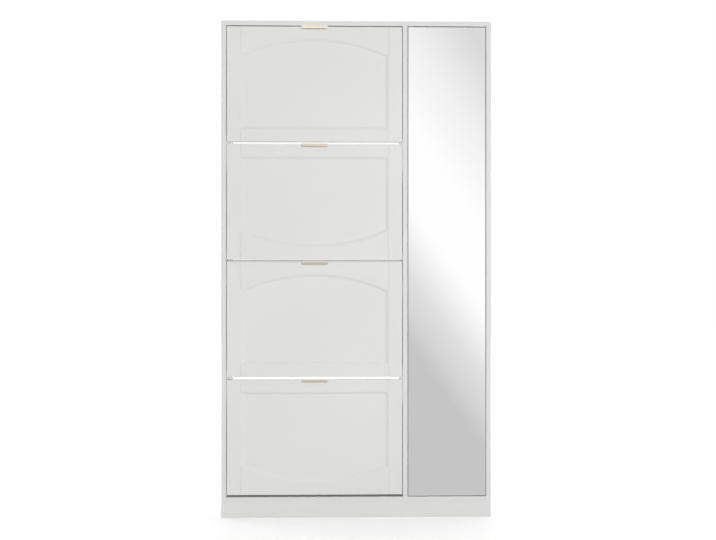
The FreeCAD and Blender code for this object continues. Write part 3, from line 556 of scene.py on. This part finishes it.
grey_plastic = moulded("grey_plastic", GREY, GREY_SHADE, (0.42, 0.55))
black_plastic = moulded("black_plastic", BLACK, BLACK_SHADE, (0.38, 0.50))
beech = streaked("beech", BEECH, BEECH_FLECK, 0.8 * MM, (12, 1, 1), 0.6)
glass_edge = streaked("glass_edge", GLASS_EDGE, GLASS_EDGE_PALE, 1.5 * MM, (8, 1, 8), 0.12)
print("plastics, beech and glass edge ready")

# %% [markdown]
# ## Finishes on the model's own pieces
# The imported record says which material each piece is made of, so a loop can hand out the finishes. A few
# pieces need a variant: boards that reach the wall have bare rear edges, and a thin board's film depends
# on how it stands.

# %% Hand out the finishes
BY_SLOT = {
    "white_paint": paint,
    "rack_board": standing_board,
    "beech": beech,
    "champagne_metal": champagne,
    "mirror_silver": silver,
    "grey_plastic": grey_plastic,
    "black_plastic": black_plastic,
    "zinc_steel": zinc,
    "nickel_steel": nickel,
}
BARE_REAR = ("left_side_panel", "right_side_panel", "divider_panel", "top_panel", "bottom_panel")
slot_of = {row["node"]: row["material_slot"] for row in frame["record"]["subparts"]}


def finish_for(node):
    """The finish of a node: its slot's, or the variant for how the piece is cut and placed."""
    if node in BARE_REAR:
        return paint_bare_rear
    if node.endswith("_floor_board"):
        return lying_board
    if node == "back_sheet":
        return back_board
    return BY_SLOT[slot_of[node]]


for node, part in frame["nodes"].items():
    part.data.materials.clear()
    part.data.materials.append(finish_for(node))
print(len(frame["nodes"]), "nodes have their finish")

# %% [markdown]
# ## Surfaces from arrays
# The new pieces are closed surfaces. Points come as whole numpy arrays, and faces as arrays of indices
# into them, so no line of Python walks over vertices. Two helpers make the indices: one for a grid, one
# for a loop carried to the next. A last helper puts the arrays into a mesh, gives it its finish and lets
# it ride on its body.

# %% Helpers for meshes
SMOOTH_ANGLE = math.radians(40)


def grid_faces(rows, columns, start=0):
    """Quads of a grid stored row by row: a point, the next row's, its neighbour's and the neighbour."""
    at = start + np.arange(rows * columns).reshape(rows, columns)
    return np.stack([at[:-1, :-1], at[1:, :-1], at[1:, 1:], at[:-1, 1:]], -1).reshape(-1, 4)


def belt_faces(loop, following):
    """Quads between a closed loop of indices and the loop that follows it."""
    return np.stack([loop, following, np.roll(following, -1), np.roll(loop, -1)], -1)


def new_piece(name, points, faces, materials, body, node=None, smooth_angle=SMOOTH_ANGLE):
    """A finished piece at the origin, on its body, in place of a node if one is named.

    It is shaded smooth wherever two faces meet at less than an angle.
    """
    mesh = bpy.data.meshes.new(name)
    mesh.from_pydata(points.tolist(), [], [list(face) for face in faces])
    mesh.shade_smooth()
    mesh.set_sharp_from_angle(angle=smooth_angle)
    for material in materials:
        mesh.materials.append(material)
    made = bpy.data.objects.new(name, mesh)
    scene.collection.objects.link(made)
    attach(made, body)
    if node:
        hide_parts(node)
    return made


print("mesh helpers ready")

# %% [markdown]
# ## Routed drawer fronts
# Each front is one fibreboard with a sunk panel cut by a router: a crisp step, a soft S-shaped slope and
# a last small quirk before the flat bed. The panel is straight at one end and arched at the other, and
# two V grooves carry its sides on to the edges, so the board looks framed. Cutting solids from a block
# would leave facets. A better way is a height field: on a grid of points, the depth is a function of the
# distance to the panel's outline.

# %% Depth of the routed profile
STEP = (-0.3 * MM, 0.7 * MM, 0.4 * MM)
SLOPE = (0.2 * MM, 10.6 * MM, 5.2 * MM)
QUIRK = (11.1 * MM, 0.9 * MM, 0.3 * MM)


def eased(t):
    """The smooth step: 3t squared less 2t cubed, held at 0 before 0 and at 1 after 1."""
    t = np.clip(t, 0, 1)
    return t * t * (3 - 2 * t)


def routed_depth(inside):
    """Depth at a distance inside the outline: three eased falls, each with a start, a width and a drop."""
    return sum(drop * eased((inside - start) / width) for start, width, drop in (STEP, SLOPE, QUIRK))


print("bed lies", round(routed_depth(sum(QUIRK)) / MM, 2), "mm deep")

# %% [markdown]
# The grid has to be fine where the profile bends and may be wide elsewhere. Its columns gather at the
# stiles, its rows at the straight end and along the arch: there each row is a circle about the arch's own
# centre, so the mesh follows the cut. The stations say how far inside the outline those columns and rows
# lie.

# %% Grid of one front
STILE = 50.8 * MM
RAIL = 45 * MM
ARCH_RISE = 60 * MM
EDGE_ROUND = 1.3 * MM
GUARD = 0.7 * MM
COARSE = 24 * MM
BED_ROWS = 10
RAIL_ROWS = 5
STEP_STATIONS = [-3, -1.7, -0.85, -0.3, -0.1, 0.1, 0.3, 0.5, 0.9, 1.5]
SLOPE_STATIONS = [2.9, 4.2, 5.5, 6.8, 8.1, 9.5, 10.6]
QUIRK_STATIONS = [11.1, 11.4, 11.7, 12, 12.4, 13.5, 15.9]
STATIONS = np.array(STEP_STATIONS + SLOPE_STATIONS + QUIRK_STATIONS) * MM


def filled(marks, step):
    """Sorted marks, with evenly spaced ones added wherever two lie further apart than a step."""
    marks = np.unique(np.round(marks, 7))
    counts = np.maximum(np.ceil(np.diff(marks) / step).astype(int), 1)
    runs = [np.linspace(a, b, n, endpoint=False) for a, b, n in zip(marks[:-1], marks[1:], counts)]
    return np.concatenate([*runs, marks[-1:]])


def outline(width, height):
    """Measures of the routed outline about the front's middle, with the arch at the top.

    They are the panel's half width h, the arch's radius (h^2 + rise^2) / (2 * rise), the height of its centre
    on the middle line, and the height of the straight end.
    """
    half = width / 2 - STILE
    radius = (half**2 + ARCH_RISE**2) / (2 * ARCH_RISE)
    centre = height / 2 - RAIL - radius
    straight = -height / 2 + RAIL
    return half, radius, centre, straight


def front_grid(width, height):
    """Grid of a front's face about its middle, as x and z, with rows that bend into the arch.

    With the arch's radius R, the row at a distance d inside the arch is z = centre + sqrt((R - d)^2 - x^2),
    with x held at the stile beyond the panel.
    """
    half, radius, centre, straight = outline(width, height)
    side = width / 2 - EDGE_ROUND
    top = height / 2 - EDGE_ROUND
    marks = np.concatenate([[side, side - GUARD], half - STATIONS])
    x = filled(np.concatenate([-marks, marks]), COARSE)[:, None]
    held = np.clip(np.abs(x), 0, half)
    lower = filled(np.concatenate([[-top, -top + GUARD], straight + STATIONS]), COARSE)
    arched = centre + np.sqrt((radius - STATIONS[::-1]) ** 2 - held**2)
    deepest, above = arched[:, :1], arched[:, -1:]
    bed = lower[-1] + (deepest - lower[-1]) * np.linspace(0, 1, BED_ROWS + 2)[1:-1]
    rail = above + (top - GUARD - above) * np.linspace(0, 1, RAIL_ROWS + 1)[1:]
    level = np.broadcast_to(lower, (len(x), len(lower)))
    z = np.concatenate([level, bed, arched, rail, np.full((len(x), 1), top)], 1)
    return np.broadcast_to(x, z.shape), z


print(len(STATIONS), "stations across the routed border")

# %% [markdown]
# On that grid the depth is one line: a point's distance inside the outline is the least of its distances
# from the stiles, the straight end and the arch. The grooves run only over the rails. An arch at the
# bottom is the same field turned upside down.

# %% Depth on the grid
GROOVE_HALF = 1.7 * MM
GROOVE_DEPTH = 1.8 * MM


def front_field(width, height, arch_up):
    """Points of a front's face about its middle: x, depth and z on the grid.

    A groove's depth falls from its middle line to nothing at half its width, in a straight line.
    """
    half, radius, centre, straight = outline(width, height)
    x, z = front_grid(width, height)
    inside = np.minimum(np.minimum(half - np.abs(x), z - straight), radius - np.hypot(x, z - centre))
    groove = GROOVE_DEPTH * np.clip(1 - np.abs(np.abs(x) - half) / GROOVE_HALF, 0, 1)
    on_rail = (z < straight) | (z > centre + math.sqrt(radius**2 - half**2))
    depth = np.maximum(routed_depth(inside), groove * on_rail)
    if not arch_up:
        x, depth, z = x[:, ::-1], depth[:, ::-1], -z[:, ::-1]
    return x, depth, z


print("grooves", round(GROOVE_DEPTH / MM, 1), "mm deep")

# %% [markdown]
# A board is more than its face. The face, a belt round the edge and the flat rear are three arrays of
# points that share their loops: the belt starts on the rim of the face and ends on the rim of the rear,
# so no seam is left open.

# %% A slab with a worked face


def rim(columns, rows):
    """Indices of a grid's rim, once round, in the order that turns left seen from the front."""
    at = np.arange(columns * rows).reshape(columns, rows)
    return np.concatenate([at[:-1, 0], at[-1, :-1], at[:0:-1, -1], at[0, :0:-1]])


def slab(x, depth, z, thickness, edge):
    """Points and faces of a closed slab: a face on a grid, a belt round its edge and a flat rear.

    Each row of the edge's profile is a distance out from the rim of the face and a depth behind its plane, so
    the belt's point is the rim's point + out * (the direction away from the middle) + depth * (0, 1, 0).
    """
    columns, rows = x.shape
    face = np.stack([x, depth, z], -1).reshape(-1, 3)
    around = rim(columns, rows)
    loop = face[around] * (1, 0, 1)
    limit = np.abs(face).max(0) * (1, 0, 1)
    away = np.sign(loop) * np.isclose(np.abs(loop), limit) * (1, 0, 1)
    out, deep = np.transpose(edge)
    belt = loop + away * out[:, None, None] + deep[:, None, None] * np.array((0, 1, 0))
    rear = face * (1, 0, 1) + (0, thickness, 0)
    points = np.concatenate([face, belt.reshape(-1, 3), rear])
    rear_start = len(points) - len(rear)
    belt_loops = len(face) + np.arange(belt.shape[0] * belt.shape[1]).reshape(belt.shape[:2])
    loops = [around, *belt_loops, rear_start + around]
    faces = [grid_faces(columns, rows)]
    faces += [belt_faces(a, b) for a, b in zip(loops[:-1], loops[1:])]
    faces.append(grid_faces(columns, rows, rear_start)[:, ::-1])
    return points, faces


def face_middle(low, high):
    """The middle of a box's front face."""
    return np.array(((low.x + high.x) / 2, low.y, (low.z + high.z) / 2))


print("slab helper ready")

# %% [markdown]
# With the slab, a front is put together in a few lines. The edge's profile is a quarter round over the
# face, a straight side and a quarter round to the rear. On drawers 1 and 3 the arch is at the top, on 2
# and 4 at the bottom. Each front takes its size and place from the box of the piece that it stands for.

# %% Build the four fronts
DRAWERS = range(1, 5)
QUARTER = np.radians([18, 36, 54, 72, 90])


def rounded_edge(thickness):
    """Edge of a front: out = r * sin t and depth = r * (1 - cos t), and the same mirrored at the rear."""
    over = np.stack([np.sin(QUARTER), 1 - np.cos(QUARTER)], -1) * EDGE_ROUND
    return np.concatenate([over, over[::-1] * (1, -1) + (0, thickness)])


def drawer_front(n):
    """The routed front of drawer n, in the place of its node."""
    body = f"drawer_{n}"
    low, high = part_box(f"{body}_front")
    width, thickness, height = high - low
    x, depth, z = front_field(width, height, n % 2 == 1)
    points, faces = slab(x, depth, z, thickness, rounded_edge(thickness))
    faces = np.concatenate(faces)
    place = points + face_middle(low, high)
    return new_piece(f"{body}_routed_front", place, faces, [paint], body, f"{body}_front")


for n in DRAWERS:
    front = drawer_front(n)
    print(front.name, len(front.data.vertices), "points")

# %% [markdown]
# ## Bent pulls
# A pull is one strip of metal, bent twice: a tail screwed behind the front, a flat over its top edge, and
# a lip that hangs in front for the fingers. Boxes with bevels could be joined for it, but the bends would
# not match. Its section is one closed outline with round corners, to be carried along X.

# %% Section of a pull
PULL_SHEET = 2 * MM
PULL_BEND = 3.2 * MM
PULL_LIP = 11.5 * MM
PULL_CORNER = 0.45 * PULL_SHEET
CORNER_STEPS = np.linspace(0, 1, 7)
RUN_GUARD = 0.06 * MM


def unit(vector):
    """A vector brought to length 1."""
    return vector / np.linalg.norm(vector)


def rounded_loop(corners):
    """A closed outline in a plane: at each (point, radius), an arc tangent to both sides.

    The arc's centre lies on the corner's bisector, radius over the sine of half the angle away. Its points
    are start and stop, seen from the centre, weighted by sin((1 - s) * sweep) and sin(s * sweep) over
    sin(sweep). A point just before the arc and one just after it keep the straight runs' shading flat.
    """
    spots = np.array([point for point, _ in corners])
    runs = []
    for i, (spot, (_, radius)) in enumerate(zip(spots, corners)):
        before = unit(spots[i - 1] - spot)
        after = unit(spots[(i + 1) % len(spots)] - spot)
        half = math.acos(float(before @ after)) / 2
        centre = spot + unit(before + after) * radius / math.sin(half)
        start = spot + before * radius / math.tan(half)
        stop = spot + after * radius / math.tan(half)
        sweep = math.pi - 2 * half
        weights = np.sin(np.stack([1 - CORNER_STEPS, CORNER_STEPS], -1) * sweep) / math.sin(sweep)
        arc = centre + weights @ np.stack([start - centre, stop - centre])
        runs += [[start + before * RUN_GUARD], arc, [stop + after * RUN_GUARD]]
    return np.concatenate(runs)


def pull_section(nose, rear, top, tail):
    """The pull's outline as depth and height: tail, flat and lip, one sheet thick."""
    inner = top - PULL_SHEET
    lip = top - PULL_LIP
    board_rear = rear - PULL_SHEET
    inner_bend = PULL_BEND - PULL_SHEET
    corners = [
        ((rear, tail), PULL_CORNER),
        ((rear, top), PULL_BEND),
        ((nose, top), PULL_BEND),
        ((nose, lip), PULL_CORNER),
        ((nose + PULL_SHEET, lip), PULL_CORNER),
        ((nose + PULL_SHEET, inner), inner_bend),
        ((board_rear, inner), inner_bend),
        ((board_rear, tail), PULL_CORNER),
    ]
    return rounded_loop(corners)


print("pull section", round(PULL_LIP / MM, 1), "mm over the lip")

# %% [markdown]
# A straight pull needs stations only near its ends. There the outline draws in along a quarter circle, so
# that the cut ends catch the light as a tumbled edge does. Two flat faces close them.

# %% Carry the section along each pull
CUT_EASE = 0.6 * MM
CUT_TURN = np.radians([0, 30, 60, 90])


def drawn_in(loop, amount):
    """A loop moved inward along its own normals by an amount."""
    along = np.roll(loop, -1, 0) - np.roll(loop, 1, 0)
    normal = np.stack([-along[:, 1], along[:, 0]], -1)
    turn = np.sign(np.sum(loop[:, 0] * np.roll(loop[:, 1], -1) - loop[:, 1] * np.roll(loop[:, 0], -1)))
    return loop + turn * amount * normal / np.linalg.norm(normal, axis=1, keepdims=True)


def bent_pull(n):
    """The pull of drawer n: e * (1 - cos t) from an end, its section is drawn in by e * (1 - sin t)."""
    body = f"drawer_{n}"
    low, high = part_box(f"{body}_pull")
    loop = pull_section(low.y, high.y, high.z, low.z)
    inset = np.append(CUT_EASE * (1 - np.sin(CUT_TURN)), 0)
    step = np.append(CUT_EASE * (1 - np.cos(CUT_TURN)), CUT_EASE + RUN_GUARD)
    stations = np.concatenate([low.x + step, (high.x - step)[::-1]])
    insets = np.concatenate([inset, inset[::-1]])
    rings = np.stack([drawn_in(loop, amount) for amount in insets])
    across = np.broadcast_to(stations[:, None, None], (*rings.shape[:2], 1))
    points = np.concatenate([across, rings], -1).reshape(-1, 3)
    at = np.arange(len(points)).reshape(len(stations), len(loop))
    belts = np.concatenate([belt_faces(a, b) for a, b in zip(at[:-1], at[1:])])
    faces = [*belts, at[0], at[-1][::-1]]
    return new_piece(f"{body}_bent_pull", points, faces, [champagne], body, f"{body}_pull")


for n in DRAWERS:
    pull = bent_pull(n)
    print(pull.name, len(pull.data.vertices), "points")

# %% [markdown]
# ## The mirror
# The mirror is a sheet of glass, silvered behind, with its front arris ground to a narrow bevel. Rendered
# as real glass it would need two surfaces and many bounces. Silver on the outside gives the same picture,
# and only the cut edge has to look like glass, so the sheet has two finishes: silver in front, glass on
# its edges and rear.

# %% Mirror sheet
ARRIS = 1.2 * MM
ARRIS_DEPTH = 0.4 * MM
MIRROR_COLUMNS = 7
MIRROR_ROWS = 31
CRISP_ANGLE = math.radians(10)


def mirror_sheet():
    """A flat grid with its edge ground back at a slant, then square to the rear."""
    low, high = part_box("mirror_glass")
    width, thickness, height = high - low
    across = np.linspace(-1, 1, MIRROR_COLUMNS) * (width / 2 - ARRIS)
    upward = np.linspace(-1, 1, MIRROR_ROWS) * (height / 2 - ARRIS)
    x, z = np.meshgrid(across, upward, indexing="ij")
    edge = [(ARRIS, ARRIS_DEPTH), (ARRIS, thickness)]
    points, faces = slab(x, np.zeros_like(x), z, thickness, edge)
    silvered = len(faces[0]) + len(faces[1])
    faces = np.concatenate(faces)
    made = new_piece(
        "mirror_sheet",
        points + face_middle(low, high),
        faces,
        [silver, glass_edge],
        "mirror_door",
        "mirror_glass",
        CRISP_ANGLE,
    )
    made.data.polygons.foreach_set("material_index", (np.arange(len(faces)) >= silvered).astype(int))
    return made


mirror = mirror_sheet()
print(mirror.name, len(mirror.data.polygons), "faces")

# %% [markdown]
# ## Nails of the back sheet
# The thin sheet behind the mirror bay lies in a rebate and is held by small flat nails all round. Each
# head is a low dome, half an ellipse turned about the nail's axis. One dome is worked out on a grid, and
# adding the array of places to it gives all of them at once. The heads are one piece, as the nails of a
# packet share one finish.

# %% Nail heads round the sheet
HEAD_RADIUS = 2.6 * MM
HEAD_RISE = 0.8 * MM
NAIL_MARGIN = 4.0 * MM
NAIL_PITCH = 130 * MM
HEAD_SIDES = 16
HEAD_RINGS = np.radians([90, 72, 50, 25])


def nail_places():
    """Points on the sheet's rear face, evenly spaced along a line set in from its edges."""
    low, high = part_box("back_sheet")
    x = np.array([low.x + NAIL_MARGIN, high.x - NAIL_MARGIN])
    z = np.array([low.z + NAIL_MARGIN, high.z - NAIL_MARGIN])
    along_x = np.linspace(*x, int(np.ptp(x) / NAIL_PITCH) + 1)[1:-1]
    along_z = np.linspace(*z, int(np.ptp(z) / NAIL_PITCH) + 1)
    upright = np.stack(np.meshgrid(x, along_z), -1).reshape(-1, 2)
    level = np.stack(np.meshgrid(along_x, z), -1).reshape(-1, 2)
    spots = np.concatenate([upright, level])
    return np.stack([spots[:, 0], np.full(len(spots), high.y), spots[:, 1]], -1)


def nail_heads():
    """Domes (R sin t cos u, rise cos t, R sin t sin u), with a point at the crown and a flat face behind."""
    u = np.linspace(0, 2 * np.pi, HEAD_SIDES, endpoint=False)
    t = HEAD_RINGS[:, None]
    rise = np.broadcast_to(HEAD_RISE * np.cos(t), (len(HEAD_RINGS), HEAD_SIDES))
    rings = np.stack([HEAD_RADIUS * np.sin(t) * np.cos(u), rise, HEAD_RADIUS * np.sin(t) * np.sin(u)], -1)
    dome = np.concatenate([rings.reshape(-1, 3), [(0, HEAD_RISE, 0)]])
    at = np.arange(rings.shape[0] * HEAD_SIDES).reshape(-1, HEAD_SIDES)
    belts = np.concatenate([belt_faces(a, b) for a, b in zip(at[:-1], at[1:])])
    crown = np.stack([at[-1], np.full(HEAD_SIDES, len(dome) - 1), np.roll(at[-1], -1)], -1)
    places = nail_places()
    points = (places[:, None] + dome).reshape(-1, 3)
    faces = []
    for start in np.arange(len(places)) * len(dome):
        faces += [*(belts + start), *(crown + start), at[0] + start]
    return points, faces


points, faces = nail_heads()
nails = new_piece("back_sheet_nails", points, faces, [zinc], "carcass")
print(nails.name, len(points), "points")
